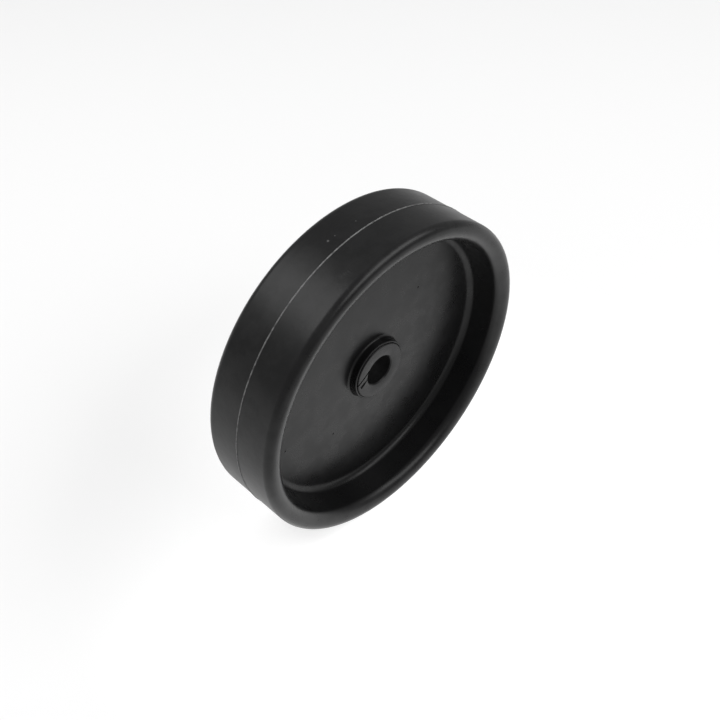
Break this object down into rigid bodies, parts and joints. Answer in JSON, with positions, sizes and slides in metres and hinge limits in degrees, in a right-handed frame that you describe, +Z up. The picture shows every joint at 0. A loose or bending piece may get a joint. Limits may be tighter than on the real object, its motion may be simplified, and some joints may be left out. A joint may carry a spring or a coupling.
{
  "type": "anti-scalp wheel",
  "caption": "Moulded plastic anti-scalp wheel for a mower deck, with a deep dish on both sides and split flanged bushes for its axle bolt.",
  "frame": {"origin": "the wheel's centre: on the axle's axis, in the middle of the tread's width", "axes": "+Y along the axle towards the far (inner) side, so -Y is the outer side that the picture shows; +Z up; the wheel spins about +Y"},
  "size_m": [0.2032, 0.0502, 0.2032],
  "materials": {
    "wheel_plastic": "satin",
    "bush_plastic": "satin"
  },
  "bodies": {
    "bushes": {"near_bush": "bush_plastic", "far_bush": "bush_plastic"},
    "wheel": {"wheel": "wheel_plastic"}
  },
  "joints": [
    {"name": "wheel_spin", "type": "hinge", "parent": "bushes", "child": "wheel", "pos_m": [0, 0, 0], "axis": [0, 1, 0], "continuous": true}
  ]
}
